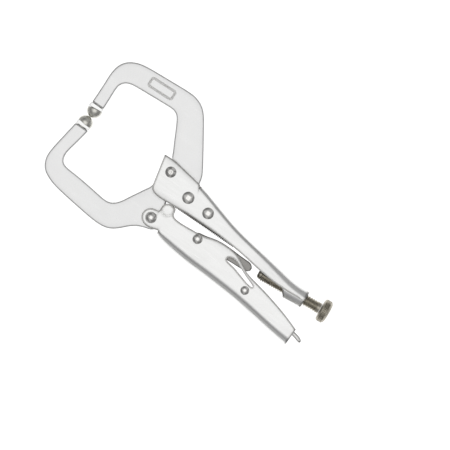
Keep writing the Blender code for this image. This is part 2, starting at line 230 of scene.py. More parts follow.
class Graph:
    # the nodes of a material or of the world, with its last shader
    def __init__(self, owner, shader="Principled BSDF"):
        owner.use_nodes = True
        self.owner = owner
        self.tree = owner.node_tree
        self.shader = self.tree.nodes[shader]

    def add(self, kind, settings=None, sockets=None, output=0):
        node = self.tree.nodes.new(kind)
        for key, value in (settings or {}).items():
            setattr(node, key, value)
        for key, value in (sockets or {}).items():
            self.put(node, key, value)
        return Wire(self, node.outputs[output])

    def put(self, node, key, value):
        if isinstance(value, Wire):
            self.tree.links.new(value.socket, node.inputs[key])
        else:
            node.inputs[key].default_value = value

    def ramp(self, factor, stops):
        node = self.tree.nodes.new("ShaderNodeValToRGB")
        while len(node.color_ramp.elements) < len(stops):
            node.color_ramp.elements.new(0.5)
        for element, (place, colour) in zip(node.color_ramp.elements, stops):
            element.position = place
            element.color = (*colour, 1.0)
        self.put(node, "Fac", factor)
        return Wire(self, node.outputs["Color"])

    def mixed(self, factor, first, second):
        return self.add("ShaderNodeMix", {"data_type": "RGBA"}, {0: factor, 6: first, 7: second}, 2)

    def shade(self, **sockets):
        for key, value in sockets.items():
            self.put(self.shader, {"colour": "Base Color", "roughness": "Roughness", "metallic": "Metallic",
                                   "normal": "Normal"}[key], value)
        return self.owner


def platedMetal(name, look):
    g = Graph(bpy.data.materials.new(name))
    where = g.add("ShaderNodeTexCoord", output="Object")
    stretched = g.add("ShaderNodeMapping", None, {"Vector": where, "Scale": look["grainStretch"],
                                                  "Rotation": (0.0, 0.0, look["grainTurn"])})
    cloud = g.add("ShaderNodeTexNoise", None, {"Vector": where, "Scale": 90.0, "Detail": 3.0, "Roughness": 0.6})
    mottle = g.add("ShaderNodeTexNoise", None, {"Vector": where, "Scale": 1500.0, "Detail": 3.0, "Roughness": 0.7})
    grain = g.add("ShaderNodeTexNoise", None, {"Vector": stretched, "Scale": look["grainScale"],
                                               "Detail": 3.0, "Roughness": 0.7})
    pits = g.add("ShaderNodeTexVoronoi", {"feature": "F1"}, {"Vector": where, "Scale": 900.0})
    drawn = g.add("ShaderNodeMapping", None, {"Vector": where, "Scale": (1.0, 26.0, 26.0),
                                              "Rotation": (0.0, 0.0, 0.7)})
    scratch = g.add("ShaderNodeTexNoise", None, {"Vector": drawn, "Scale": 70.0, "Detail": 2.0, "Roughness": 0.5})
    scratchMask = scratch.clipped(0.66, 0.72)
    # edge mask: how far a rounded normal leans away from the true one; it drives the painted shade along the edges
    soft = g.add("ShaderNodeBevel", {"samples": 6}, {"Radius": look["edgeWidth"] * mm})
    flat = g.add("ShaderNodeNewGeometry", None, None, "Normal")
    lean = g.add("ShaderNodeVectorMath", {"operation": "DOT_PRODUCT"}, {0: soft, 1: flat}, "Value")
    edge = (1.0 - lean).clipped(0.003, look["edgeHard"])
    tone = g.ramp(cloud * 0.25 + mottle * 0.75, [(0.35, look["deep"]), (0.52, look["colour"]),
                                                 (0.68, look["pale"])])
    # painted shade: the colour is darkened towards the dark edge colour along every edge, standing in for dark
    # reflections and contact shadows at the edges
    tone = g.mixed(edge * look["edgeShade"], tone, (*look["edgeShadeColour"], 1.0))
    tone = g.mixed(scratchMask * 0.12, tone, (*look["pale"], 1.0))
    rough = (look["roughness"] + (mottle - 0.5) * look["roughVary"] + (grain - 0.5) * look["roughVary"]
             - edge * look["edgePolish"] - scratchMask * 0.05)
    height = grain * look["grainDepth"] + pits.clipped(0.0, 0.5) * look["pitDepth"] + mottle * 0.35
    bump = g.add("ShaderNodeBump", None, {"Strength": look["bump"], "Distance": 0.00006, "Height": height})
    return g.shade(colour=tone, roughness=rough, metallic=1.0, normal=bump)


baseLook = dict(colour=(0.84, 0.84, 0.835), deep=(0.80, 0.80, 0.795), pale=(0.89, 0.89, 0.885),
                edgeShadeColour=(0.20, 0.193, 0.18), edgeShade=0.92, edgePolish=0.06, edgeWidth=1.0, edgeHard=0.045,
                roughness=0.34, roughVary=0.14, grainScale=1500.0, grainStretch=(1.0, 1.0, 1.0), grainTurn=0.0,
                grainDepth=0.6, pitDepth=0.5, bump=0.16)
finishes = {
    "forgedNickel": dict(baseLook),
    "sheetNickel": dict(baseLook, roughness=0.31, edgeWidth=1.8, edgeHard=0.03, pitDepth=0.15, grainScale=300.0,
                        grainStretch=(0.25, 3.0, 3.0), colour=(0.87, 0.87, 0.86), pale=(0.91, 0.91, 0.90),
                        deep=(0.83, 0.83, 0.82), bump=0.12),
    "noseNickel": dict(baseLook, roughness=0.3, roughVary=0.16, colour=(0.76, 0.75, 0.70),
                       deep=(0.62, 0.61, 0.55), pale=(0.85, 0.84, 0.80), edgeShade=0.5, edgeWidth=0.3, bump=0.2),
    "collarNickel": dict(baseLook, roughness=0.24, colour=(0.90, 0.90, 0.89), pale=(0.94, 0.94, 0.93),
                         deep=(0.85, 0.85, 0.84), edgeShade=0.4, edgeWidth=0.3),
    "rivetNickel": dict(baseLook, roughness=0.13, roughVary=0.05, colour=(0.86, 0.85, 0.825),
                        deep=(0.80, 0.79, 0.765), pale=(0.90, 0.89, 0.87), edgeShade=0.6, edgeWidth=0.35,
                        bump=0.05, pitDepth=0.1),
    "warmNickel": dict(baseLook, roughness=0.34, colour=(0.47, 0.44, 0.37), deep=(0.34, 0.31, 0.25),
                       pale=(0.60, 0.57, 0.50), edgeShade=0.0, bump=0.3),
    # the toggle link: a dull zinc colour, darkened further as painted shade where the link shows through the opening
    # in the handle
    "dullZincAndPaintedShade": dict(baseLook, roughness=0.44, colour=(0.40, 0.39, 0.37), deep=(0.30, 0.29, 0.28),
                     pale=(0.48, 0.47, 0.45), edgeShade=0.4),
    "springWire": dict(baseLook, roughness=0.28, colour=(0.42, 0.40, 0.38), deep=(0.30, 0.28, 0.26),
                       pale=(0.55, 0.53, 0.50), edgeShade=0.0),
}
materials = {name: platedMetal(name, look) for name, look in finishes.items()}
print("materials ready:", len(materials))


def fitted(piece, finish, body, slot, *nodes):
    piece.data.materials.clear()
    piece.data.materials.append(materials[finish])
    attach(piece, body)
    if nodes:
        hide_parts(*nodes)
    return piece


fixedJaw = {
    "pairs": [((-52.5, 6.3), (-45.7, 6.3)), ((-52.5, 9.0), (-45.8, 9.0)), ((-52.6, 13.8), (-46.0, 13.8)),
              ((-52.8, 19.0), (-46.25, 17.8)), ((-53.1, 24.0), (-46.2, 20.2)), ((-52.3, 28.6), (-45.2, 22.2)),
              ((-50.3, 31.9), (-43.6, 23.6)), ((-47.2, 34.3), (-41.6, 24.4)), ((-43.2, 35.9), (-39.6, 24.75)),
              ((-37.9, 36.6), (-37.0, 24.95)), ((-29.3, 37.2), (-29.4, 25.5)), ((-21.0, 37.8), (-22.0, 26.0)),
              ((-14.6, 38.2), (-18.0, 26.25)), ((-11.2, 37.9), (-16.2, 26.0)), ((-8.0, 36.9), (-14.8, 25.3)),
              ((-5.2, 35.3), (-13.8, 24.5)), ((-2.4, 32.5), (-12.6, 22.9)), ((1.2, 27.1), (-10.6, 19.3)),
              ((5.6, 20.6), (-7.7, 13.6)), ((10.0, 14.0), (-5.3, 9.4)), ((12.6, 10.0), (-4.4, 7.3)),
              ((13.9, 7.8), (-3.4, 5.3)), ((14.6, 5.8), (-0.6, 4.95)), ((15.0, 4.0), (2.6, 4.5)),
              ((15.2, 2.6), (4.7, 3.2)), ((15.8, 1.4), (6.2, 0.6)),
              ((16.6, 0.3), (8.6, -3.6)), ((19.4, -0.4), (11.6, -7.4)), ((22.5, -1.0), (18.4, -9.2)),
              ((27.0, -2.2), (25.0, -9.8)), ((31.2, -3.5), (30.8, -9.6))],
    "thick": 6.0, "edge": 0.75, "bores": {"front": 2.4, "rear": 2.4}, "hub": 3.6, "hubHalf": 4.7,
}
movableJaw = {
    "pairs": [((-53.2, -7.0), (-45.7, -6.8)), ((-53.6, -10.0), (-46.1, -9.6)), ((-54.4, -15.6), (-47.1, -15.5)),
              ((-55.1, -20.6), (-47.9, -19.2)), ((-55.7, -25.6), (-48.3, -22.0)), ((-55.6, -29.0), (-48.1, -24.4)),
              ((-54.6, -32.2), (-47.2, -26.3)), ((-52.7, -34.9), (-45.9, -27.3)), ((-50.0, -36.7), (-44.2, -27.8)),
              ((-45.5, -38.5), (-41.6, -28.05)), ((-39.4, -39.6), (-37.4, -28.2)), ((-28.4, -40.9), (-28.4, -29.1)),
              ((-20.0, -41.85), (-21.6, -30.0)), ((-15.4, -42.0), (-18.4, -30.2)), ((-11.8, -41.7), (-16.4, -29.8)),
              ((-8.3, -40.5), (-14.7, -28.8)), ((-4.9, -37.7), (-12.9, -27.1)), ((-1.8, -34.2), (-11.2, -24.4)),
              ((1.5, -31.6), (-9.8, -21.5)), ((5.4, -30.1), (-8.1, -18.6)), ((9.4, -29.2), (-6.3, -15.2)),
              ((10.9, -25.4), (-4.8, -12.8)), ((10.0, -20.4), (-3.9, -10.8)), ((7.4, -16.0), (-4.0, -8.0)),
              ((5.7, -11.5), (-4.8, -4.6)), ((5.0, -6.6), (-4.9, -1.4)), ((4.5, -1.6), (-4.5, 1.2)),
              ((4.0, 1.8), (-3.0, 3.3)), ((2.4, 3.7), (-0.8, 4.3))],
    "thick": 6.0, "edge": 0.75, "bores": {"jaw": 2.6, "handle": 2.4, "springHook": 0.9},
    "hub": 4.9, "hubHalf": 4.7,
}
stamp = {"place": (-27.6, 31.6), "size": (14.1, 5.1), "turn": 2.1, "corner": 1.3, "line": 0.55, "depth": 0.3}
noses = {
    # the ball's middle and pointing-back direction, and the collar from the arm to the ball
    "fixed": {"place": (-49.0, 3.5), "way": (-0.16, 0.987), "body": "fixed_side", "node": "fixed_jaw",
              "collar": [((-52.5, 6.16), (-45.7, 6.16)), ((-52.7, 5.1), (-45.6, 5.4)), ((-52.8, 4.0), (-45.7, 4.7))]},
    "movable": {"place": (-49.4, -4.4), "way": (-0.127, -0.992), "body": "jaw", "node": "movable_jaw",
                "collar": [((-53.1, -6.68), (-45.8, -6.48)), ((-53.1, -5.7), (-45.75, -5.6)),
                           ((-52.9, -4.6), (-45.9, -5.2))]},
}
noseForm = {"radius": 3.92, "flatten": 0.84, "rim": 0.7, "neck": 2.7, "root": 3.2, "collar": 6.0, "collarEdge": 0.35}


def makeHub(name, form, pivot, body, node):
    # a boss that keeps the plates apart: a short cylinder with chamfered rims and a bore
    piece = upright(name, pivots[pivot], form["hub"], 2.0 * form["hubHalf"], 48)
    bpy.ops.object.transform_apply(location=True)
    editMode(piece, "FACE")
    pick(piece, "faces", lambda f: abs(f.normal.z) > 0.9)
    bpy.ops.mesh.inset(thickness=0.3 * mm, use_individual=True)
    bpy.ops.mesh.select_all(action="DESELECT")
    bpy.ops.object.mode_set(mode="OBJECT")
    drill(piece, pivots[pivot], form["bores"][pivot])
    applied(piece, "BEVEL", width=0.2 * mm, segments=2, limit_method="ANGLE", angle_limit=math.radians(50))
    fitted(placed(piece), "forgedNickel", body, node)


def forging(name, form):
    # strip, smoothed outline, thickness, soft edges and then the bores
    piece = smoothedSlab(name, form)
    applied(piece, "BEVEL", width=form["edge"] * mm, segments=4, limit_method="ANGLE",
            angle_limit=math.radians(55), use_clamp_overlap=False)
    for pivot, radius in form["bores"].items():
        drill(piece, pivots[pivot], radius)
    return piece


def stampFrame(piece):
    # a plain rounded frame pressed into the upper face
    face = 0.5 * fixedJaw["thick"]
    ring = roundedBox("stampRing", stamp["place"], stamp["size"], stamp["corner"], stamp["turn"],
                      face - stamp["depth"], face + 1.0)
    inside = [s - 2.0 * stamp["line"] for s in stamp["size"]]
    core = roundedBox("stampCore", stamp["place"], inside, stamp["corner"] - stamp["line"], stamp["turn"],
                      face - 1.0, face + 2.0)
    cutAway(ring, core)
    cutAway(piece, ring)


def makeNose(name, form):
    centre = Vector((form["place"][0] * mm, form["place"][1] * mm, 0.0))
    way = Vector((form["way"][0], form["way"][1], 0.0)).normalized()
    f = noseForm
    freshStart()
    bpy.ops.mesh.primitive_uv_sphere_add(segments=56, ring_count=28, radius=f["radius"] * mm)
    piece = named(name)
    piece.rotation_euler = way.to_track_quat("Z", "Y").to_euler()
    piece.location = centre
    bpy.ops.object.transform_apply(location=True, rotation=True)
    editMode(piece, "FACE")
    bpy.ops.mesh.select_all(action="SELECT")
    bpy.ops.mesh.bisect(plane_co=centre, plane_no=way, use_fill=True, clear_outer=True)
    bpy.ops.mesh.select_all(action="SELECT")
    bpy.ops.transform.resize(value=(1.0, 1.0, f["flatten"]), center_override=centre)
    pick(piece, "faces", lambda face: face.normal.dot(way) > 0.99 and len(face.verts) > 8)
    # a thin rim and the neck that carries the ball
    bpy.ops.mesh.extrude_region_move(TRANSFORM_OT_translate={"value": way * f["rim"] * mm})
    bpy.ops.mesh.inset(thickness=(f["radius"] - f["neck"]) * mm)
    bpy.ops.mesh.extrude_region_move(TRANSFORM_OT_translate={"value": way * f["root"] * mm})
    bpy.ops.object.mode_set(mode="OBJECT")
    outward(piece)
    applied(piece, "BEVEL", width=0.12 * mm, segments=2, limit_method="ANGLE", angle_limit=math.radians(50))
    fitted(placed(piece), "noseNickel", form["body"], form["node"])
    collar = smoothedSlab(name + "_collar", {"pairs": form["collar"], "thick": f["collar"]})
    applied(collar, "BEVEL", width=f["collarEdge"] * mm, segments=3, limit_method="ANGLE",
            angle_limit=math.radians(50))
    return fitted(placed(collar), "collarNickel", form["body"], form["node"])


fixedForging = forging("fixedJawForging", fixedJaw)
stampFrame(fixedForging)
fitted(placed(fixedForging), "forgedNickel", "fixed_side", "fixed_jaw", "fixed_jaw")
for pivot in fixedJaw["bores"]:
    makeHub("fixedBoss_" + pivot, fixedJaw, pivot, "fixed_side", "fixed_jaw")
movableForging = forging("movableJawForging", movableJaw)
fitted(placed(movableForging), "forgedNickel", "jaw", "movable_jaw", "movable_jaw")
makeHub("jawHub", movableJaw, "jaw", "jaw", "movable_jaw")
for tag, form in noses.items():
    makeNose("nose_" + tag, form)
print("jaws ready")


fixedHandle = {
    # upper and lower edge of the side wall on each station
    "pairs": [((-7.4, 5.5), (-3.5, -11.1)), ((-6.2, 5.65), (-2.9, -12.2)), ((-4.2, 5.75), (-1.8, -13.0)),
              ((-2.0, 5.65), (-0.1, -13.5)), ((0.8, 5.45), (2.2, -13.7)), ((5.0, 4.85), (6.0, -13.5)),
              ((10.0, 4.05), (11.0, -13.1)), ((14.2, 3.4), (15.0, -12.7)), ((15.8, 3.3), (16.0, -12.55)),
              ((16.2, 0.9), (18.0, -12.35)), ((22.0, -0.7), (22.5, -12.15)), ((28.0, -2.5), (28.0, -12.1)),
              ((34.0, -4.2), (34.0, -12.05)), ((40.0, -5.8), (40.0, -12.2)), ((46.0, -7.1), (46.0, -12.6)),
              ((52.0, -8.1), (52.0, -13.1)), ((58.0, -9.0), (58.0, -13.9)), ((64.0, -9.9), (64.0, -14.8)),
              ((72.0, -11.7), (72.0, -15.6)), ((79.0, -13.2), (79.0, -15.6)), ((84.6, -13.9), (84.6, -15.2)),
              ((88.4, -13.9), (88.4, -14.9)), ((91.2, -13.7), (91.2, -14.6))],
    # where the spine rolls over: station, half width, and the roll's height and depth
    "roll": [(16.2, 6.6, 2.0, 2.2), (22.0, 6.6, 2.4, 2.6), (28.0, 6.6, 2.5, 2.8), (34.0, 6.6, 2.5, 2.8),
             (40.0, 6.6, 2.4, 2.8), (46.0, 6.6, 2.5, 2.8), (52.0, 6.6, 2.5, 2.8), (58.0, 6.45, 2.6, 3.0),
             (64.0, 6.2, 2.8, 3.4), (72.0, 5.5, 3.5, 4.0), (79.0, 4.95, 3.9, 4.4), (84.6, 4.6, 4.1, 4.5),
             (88.4, 4.5, 4.3, 4.45), (91.2, 4.45, 4.25, 4.4)],
    "half": 6.6, "sheet": 1.5, "way": 1.0, "edge": 0.22,
}
movableHandle = {
    "pairs": [((0.12, -23.3), (0.12, -25.1)), ((0.6, -21.9), (0.6, -26.5)), ((1.7, -20.6), (1.7, -27.8)),
              ((3.3, -19.75), (3.3, -28.65)), ((4.9, -19.55), (4.4, -28.9)), ((6.3, -19.3), (5.4, -28.9)),
              ((6.7, -18.5), (6.2, -28.85)), ((6.15, -17.0), (7.0, -28.75)), ((6.3, -15.4), (7.8, -28.6)),
              ((7.2, -13.9), (8.6, -28.4)), ((8.8, -13.2), (9.4, -28.1)), ((11.4, -13.2), (10.4, -27.8)),
              ((12.7, -13.9), (11.6, -27.4)), ((12.95, -15.6), (12.6, -27.3)), ((13.4, -17.6), (13.6, -27.3)),
              ((17.0, -18.2), (17.0, -27.3)), ((22.0, -17.8), (22.0, -27.6)), ((28.0, -17.3), (28.0, -28.0)),
              ((32.4, -16.8), (32.4, -28.3)), ((36.2, -15.0), (36.2, -28.4)), ((41.0, -14.2), (41.0, -28.5)),
              ((46.0, -14.1), (46.0, -28.6)), ((51.0, -14.6), (51.0, -28.9)), ((55.0, -17.2), (55.0, -29.1)),
              ((60.0, -19.6), (60.0, -29.5)), ((66.0, -20.8), (66.0, -30.1)), ((72.0, -21.8), (72.0, -30.8)),
              ((79.0, -23.4), (79.0, -31.8)), ((86.0, -25.2), (86.0, -32.7)), ((91.0, -26.8), (91.0, -33.2)),
              ((96.0, -28.6), (96.0, -33.5))],
    "roll": [(11.6, 4.7, 1.4, 4.2), (12.6, 4.7, 2.5, 4.3), (13.6, 4.7, 3.0, 4.4),
             (17.0, 4.7, 3.7, 4.5), (22.0, 4.7, 4.1, 4.5), (28.0, 4.7, 4.3, 4.5), (32.4, 4.7, 4.3, 4.5),
             (36.2, 4.7, 4.3, 4.5), (41.0, 4.7, 4.3, 4.5), (46.0, 4.7, 4.4, 4.5), (51.0, 4.7, 4.4, 4.5),
             (55.0, 4.7, 4.4, 4.5), (60.0, 4.7, 4.3, 4.5), (66.0, 4.7, 4.3, 4.5), (72.0, 4.7, 4.3, 4.5),
             (79.0, 4.7, 4.2, 4.5), (86.0, 4.7, 4.2, 4.5), (91.0, 4.7, 4.2, 4.5), (96.0, 4.7, 4.2, 4.5)],
    "half": 4.7, "sheet": 1.3, "way": -1.0, "edge": 0.2,
}
# the groove round the lobe, and the opening in the wall behind it
lobeGroove = {"place": (9.5, -16.3), "radius": 3.25, "line": 0.4, "deep": 0.22}
window = {"pairs": [((47.2, -18.6), (47.6, -20.3)), ((49.4, -17.3), (51.2, -20.6)), ((53.0, -17.6), (56.0, -21.6)),
                    ((60.0, -21.2), (62.0, -23.6)), ((66.6, -23.0), (66.6, -24.3))], "thick": 16.0}


def nudge(piece, spots, targets):
    # moves the selected points one at a time from the old spots to the new ones
    bpy.ops.mesh.select_mode(type="VERT")
    mesh = bmesh.from_edit_mesh(piece.data)
    chosen = [v.index for v in mesh.verts if v.select]
    for spot, target in zip(spots, targets):
        if (target - spot).length < 0.000001:
            continue
        pick(piece, "verts", lambda v: v.index in chosen and (v.co - spot).length < 0.00001)
        bpy.ops.transform.translate(value=target - spot)
    pick(piece, "verts", lambda v: v.index in chosen)


def sheetChannel(name, form):
    # one side wall, its edge rolled over into the spine station by station, then mirrored
    way = form["way"]
    piece = drawStrip(name, form["pairs"], form["half"] * mm)
    row = 0 if way > 0.0 else 1
    edgeY = {p[row][0]: p[row][1] for p in form["pairs"]}
    flatZ = form["half"] * mm
    # the wall narrows with the roll
    for x, half, high, deep in form["roll"]:
        if abs(half - form["half"]) > 0.001:
            place = [p for p in form["pairs"] if p[row][0] == x][0]
            editMode(piece)
            pick(piece, "verts", lambda v: min((v.co.xy - Vector(q) * mm).length for q in place) < 0.00001)
            bpy.ops.transform.translate(value=(0.0, 0.0, (half - form["half"]) * mm))
            bpy.ops.object.mode_set(mode="OBJECT")
    spots = [Vector((x * mm, edgeY[x] * mm, half * mm)) for x, half, high, deep in form["roll"]]
    editMode(piece, "EDGE")
    pick(piece, "edges", lambda e: all(min((v.co - r).length for r in spots) < 0.00001 for v in e.verts))
    steps = 6
    for k in range(1, steps + 2):
        a = 0.5 * math.pi * min(k, steps) / steps
        targets = [Vector((x * mm, (edgeY[x] + way * high * math.sin(a)) * mm,
                           0.0 if k > steps else (half - deep * (1.0 - math.cos(a))) * mm))
                   for x, half, high, deep in form["roll"]]
        bpy.ops.mesh.extrude_edges_move()
        nudge(piece, spots, targets)
        bpy.ops.mesh.select_mode(type="EDGE")
        spots = targets
    bpy.ops.object.mode_set(mode="OBJECT")
    applied(piece, "MIRROR", use_axis=(False, False, True), merge_threshold=0.00002)
    outwardSheet(piece, form)
    applied(piece, "SUBSURF", levels=2, render_levels=2, boundary_smooth="PRESERVE_CORNERS")
    applied(piece, "SOLIDIFY", thickness=form["sheet"] * mm, offset=-1.0)
    return piece


def outwardSheet(piece, form):
    # an open sheet: the faces of the upper wall must look up
    editMode(piece)
    bpy.ops.mesh.select_all(action="SELECT")
    bpy.ops.mesh.normals_make_consistent(inside=False)
    mesh = bmesh.from_edit_mesh(piece.data)
    wall = [f.normal.z for f in mesh.faces if f.calc_center_median().z > form["half"] * 0.9 * mm]
    if sum(wall) < 0.0:
        bpy.ops.mesh.select_all(action="SELECT")
        bpy.ops.mesh.flip_normals()
    bpy.ops.object.mode_set(mode="OBJECT")


def softEdges(piece, width):
    applied(piece, "BEVEL", width=width * mm, segments=2, limit_method="ANGLE", angle_limit=math.radians(55),
            use_clamp_overlap=True)


def cutGroove(piece, form):
    # a fine groove on both faces
    for side in (1.0, -1.0):
        ring = upright("lobeRing", form["place"], form["radius"], 2.0, 64,
                       side * (movableHandle["half"] + 1.0 - form["deep"]))
        cutAway(ring, upright("lobeCore", form["place"], form["radius"] - form["line"], 6.0, 64, side * 5.0))
        cutAway(piece, ring)


wallSmooth = 26  # keeps the walls flat beside their small bevels
handleSheet = sheetChannel("fixedHandleSheet", fixedHandle)
softEdges(handleSheet, fixedHandle["edge"])
fitted(placed(handleSheet, wallSmooth), "sheetNickel", "fixed_side", "fixed_handle", "fixed_handle")

leverSheet = sheetChannel("movableHandleSheet", movableHandle)
softEdges(leverSheet, movableHandle["edge"])
cutGroove(leverSheet, lobeGroove)
cutAway(leverSheet, smoothedSlab("opening", window, keepCorners=False))
fitted(placed(leverSheet, wallSmooth), "sheetNickel", "handle", "movable_handle", "movable_handle")
print("handles ready")


rivets = {
    "jaw_pivot_rivet": {"pivot": "jaw", "body": "fixed_side", "shank": 2.3, "head": 2.8, "face": 6.9,
                        "rise": 0.9, "flat": 1.5},
    "fixed_jaw_front_rivet": {"pivot": "front", "body": "fixed_side", "shank": 2.1, "head": 3.05,
                              "face": 6.9, "rise": 0.85},
    "fixed_jaw_rear_rivet": {"pivot": "rear", "body": "fixed_side", "shank": 2.1, "head": 2.9,
                             "face": 6.9, "rise": 0.85},
    "handle_pivot_rivet": {"pivot": "handle", "body": "jaw", "shank": 2.1, "head": 2.9, "face": 5.0,
                           "rise": 1.2},
    "link_rivet": {"pivot": "link", "body": "handle", "shank": 1.8, "head": 2.5, "face": 5.0, "rise": 0.9},
    "lever_rivet": {"pivot": "lever", "body": "handle", "shank": 1.5, "head": 2.2, "face": 5.0, "rise": 0.8},
}


rivetForm = {"seat": 0.3, "rim": 0.35, "coneRim": 0.55, "dimple": 0.62, "dimpleFloor": 0.5, "dimpleDeep": 0.16,
             "rings": 10, "sides": 48}


def makeRivet(name, form):
    x, y = [value * mm for value in pivots[form["pivot"]]]
    face, head, shank, rise = form["face"], form["head"], form["shank"], form["rise"]
    # the head reaches down into the sheet, so that no gap shows under it
    f = rivetForm
    seat = face - f["seat"]
    top = face + rise
    piece = upright(name + "_piece", pivots[form["pivot"]], shank, 2.0 * seat, f["sides"])
    bpy.ops.object.transform_apply(location=True)
    for side in (1.0, -1.0):
        editMode(piece, "FACE")
        pick(piece, "faces", lambda f: f.normal.z * side > 0.9 and f.calc_center_median().z * side > 0.0)
        levels = [(seat + 0.001, head)]
        if form.get("flat"):
            # a cone with a flat and a small dimple
            levels += [(seat + f["coneRim"], head * 0.985), (top - 0.1, form["flat"] + 0.12), (top, form["flat"]),
                       (top - 0.001, f["dimple"]), (top - f["dimpleDeep"], f["dimpleFloor"]),
                       (top - f["dimpleDeep"], 0.12)]
        else:
            # a cap of a sphere on a thin straight rim
            rim = seat + f["rim"]
            tall = top - rim
            ball = (head * head + tall * tall) / (2.0 * tall)
            most = math.asin(head / ball)
            levels.append((rim, head))
            for k in range(1, f["rings"]):
                a = most * (1.0 - k / (f["rings"] - 0.6))
                levels.append((rim + tall - ball * (1.0 - math.cos(a)), ball * math.sin(a)))
        z, radius = seat, shank
        for level, wide in levels:
            bpy.ops.mesh.extrude_region_move(TRANSFORM_OT_translate={"value": (0.0, 0.0, side * (level - z) * mm)})
            grow = wide / radius
            bpy.ops.transform.resize(value=(grow, grow, 1.0), center_override=(x, y, side * level * mm))
            z, radius = level, wide
        bpy.ops.object.mode_set(mode="OBJECT")
    outward(piece)
    return fitted(placed(piece, smooth=40), "rivetNickel", form["body"], name, name)


for name, form in rivets.items():
    makeRivet(name, form)
print("rivets ready")


toggleLink = {
    "pairs": [((27.2, -18.0), (27.4, -21.6)), ((28.6, -16.6), (28.8, -22.9)), ((30.6, -16.4), (30.8, -22.95)),
              ((33.0, -16.0), (33.6, -22.2)), ((36.5, -14.9), (37.0, -21.1)), ((40.0, -14.2), (40.5, -20.5)),
              ((45.0, -14.0), (45.5, -20.1)), ((50.0, -14.2), (50.0, -19.7)), ((54.6, -14.4), (54.6, -19.5)),
              ((58.0, -14.2), (58.0, -19.4)), ((59.6, -14.8), (59.6, -18.8)), ((60.6, -16.2), (60.6, -17.6))],
    "thick": 5.8, "edge": 0.5, "bores": {"link": 2.1},
}
releaseLever = {
    "pairs": [((52.0, -23.4), (52.0, -25.3)), ((54.0, -23.4), (54.0, -26.6)), ((58.0, -24.5), (58.0, -28.2)),
              ((61.0, -24.2), (61.0, -29.8)), ((64.0, -23.8), (64.0, -30.3)), ((67.0, -24.4), (67.0, -30.3)),
              ((72.0, -25.9), (72.0, -30.4)), ((80.0, -28.1), (80.0, -30.6)), ((88.0, -29.3), (88.0, -31.2)),
              ((94.0, -29.7), (94.0, -31.6)), ((98.0, -30.2), (97.8, -32.3)), ((100.6, -30.9), (100.4, -33.1)),
              ((101.5, -31.9), (101.5, -33.0))],
    "thick": 5.8, "edge": 0.45, "bores": {"lever": 1.8},
}
link = forging("toggleLinkBar", toggleLink)
# painted shade: the link's dark colour stands in for the shade in the opening behind it
fitted(placed(link), "dullZincAndPaintedShade", "link", "toggle_link", "toggle_link")
lever = forging("releaseLeverBar", releaseLever)
fitted(placed(lever), "sheetNickel", "lever", "release_lever", "release_lever")
print("link and lever ready")


screwLine = {"slope": 0.0875, "at91": -13.9, "tip": 64.6, "knobFront": 100.3, "knobRear": 105.08}
screwAngle = math.atan(screwLine["slope"])
thread = {"radius": 2.9, "root": 2.42, "pitch": 1.25, "steps": 40}
knob = {"radius": 6.0, "columns": 44, "rows": 4, "stud": 0.2}
tube = {"radius": 4.5, "bore": 3.1, "from": 70.3, "to": 91.3, "mouth": (77.5, -14.0), "slant": 38.0,
        "innerTurns": 6, "innerDepth": 0.3}


def onScrew(piece, x):
    # turns a piece that was made along z onto the screw's axis, its middle at x
    freshStart()
    piece.select_set(True)
    bpy.context.view_layer.objects.active = piece
    piece.rotation_euler = (0.0, 0.5 * math.pi, screwAngle)
    piece.location = (x * mm, (screwLine["at91"] + (x - 91.0) * screwLine["slope"]) * mm, 0.0)
    bpy.ops.object.transform_apply(location=True, rotation=True)
    return piece


def makeScrew():
    # one pitch of the thread's outline, wound up the axis by the screw modifier
    t = thread
    ends = (screwLine["tip"], screwLine["knobFront"] - 0.3)
    length = ends[1] - ends[0] - 2.6
    turns = int(length / t["pitch"])
    start = -0.5 * turns * t["pitch"]
    outline = [(t["root"], 0.0), (t["root"], 0.10), (t["radius"], 0.46), (t["radius"], 0.60),
               (t["root"], 0.96), (t["root"], 1.0)]
    freshStart()
    bpy.ops.mesh.primitive_plane_add(size=mm, location=(0.0, 0.0, 0.0))
    piece = named("adjustingScrewThread")
    editMode(piece)
    pick(piece, "verts", lambda v: v.co.x > 0.0)
    bpy.ops.mesh.delete(type="VERT")
    pick(piece, "verts", lambda v: v.co.y > 0.0)
    bpy.ops.mesh.delete(type="VERT")
    pick(piece, "verts", lambda v: True)
    bpy.ops.transform.translate(value=((t["root"] + 0.5) * mm, 0.5 * mm, start * mm))
    for (r0, z0), (r1, z1) in zip(outline, outline[1:]):
        bpy.ops.mesh.extrude_vertices_move(TRANSFORM_OT_translate={
            "value": ((r1 - r0) * mm, 0.0, (z1 - z0) * t["pitch"] * mm)})
    bpy.ops.object.mode_set(mode="OBJECT")
    applied(piece, "SCREW", axis="Z", angle=2.0 * math.pi, screw_offset=t["pitch"] * mm, iterations=turns,
            steps=t["steps"], render_steps=t["steps"], use_merge_vertices=True, merge_threshold=0.000002)
    editMode(piece)
    bpy.ops.mesh.select_all(action="SELECT")
    bpy.ops.mesh.remove_doubles(threshold=0.000003)
    bpy.ops.mesh.select_all(action="DESELECT")
    bpy.ops.mesh.select_non_manifold()
    bpy.ops.mesh.fill()
    bpy.ops.object.mode_set(mode="OBJECT")
    outward(piece)
    fitted(placed(onScrew(piece, 0.5 * (ends[0] + ends[1]) - 0.3), smooth=28), "warmNickel", "screw",
           "adjusting_screw", "adjusting_screw")
    # plain ends: a blunt tip in front and a collar under the knob
    half = 0.5 * turns * t["pitch"]
    middle = 0.5 * (ends[0] + ends[1]) - 0.3
    tipLong = middle - half - ends[0] + 1.0
    tip = ringed("screwTip", [(0.0, 1.5), (0.5, 2.1), (1.2, 2.4), (tipLong, 2.4)])
    fitted(placed(onScrew(tip, ends[0])), "warmNickel", "screw", "adjusting_screw")
    collarFrom = middle + half - 0.6
    collar = ringed("screwCollar", [(0.0, 2.4), (0.5, 2.75), (ends[1] - collarFrom, 2.75)])
    fitted(placed(onScrew(collar, collarFrom)), "warmNickel", "screw", "adjusting_screw")


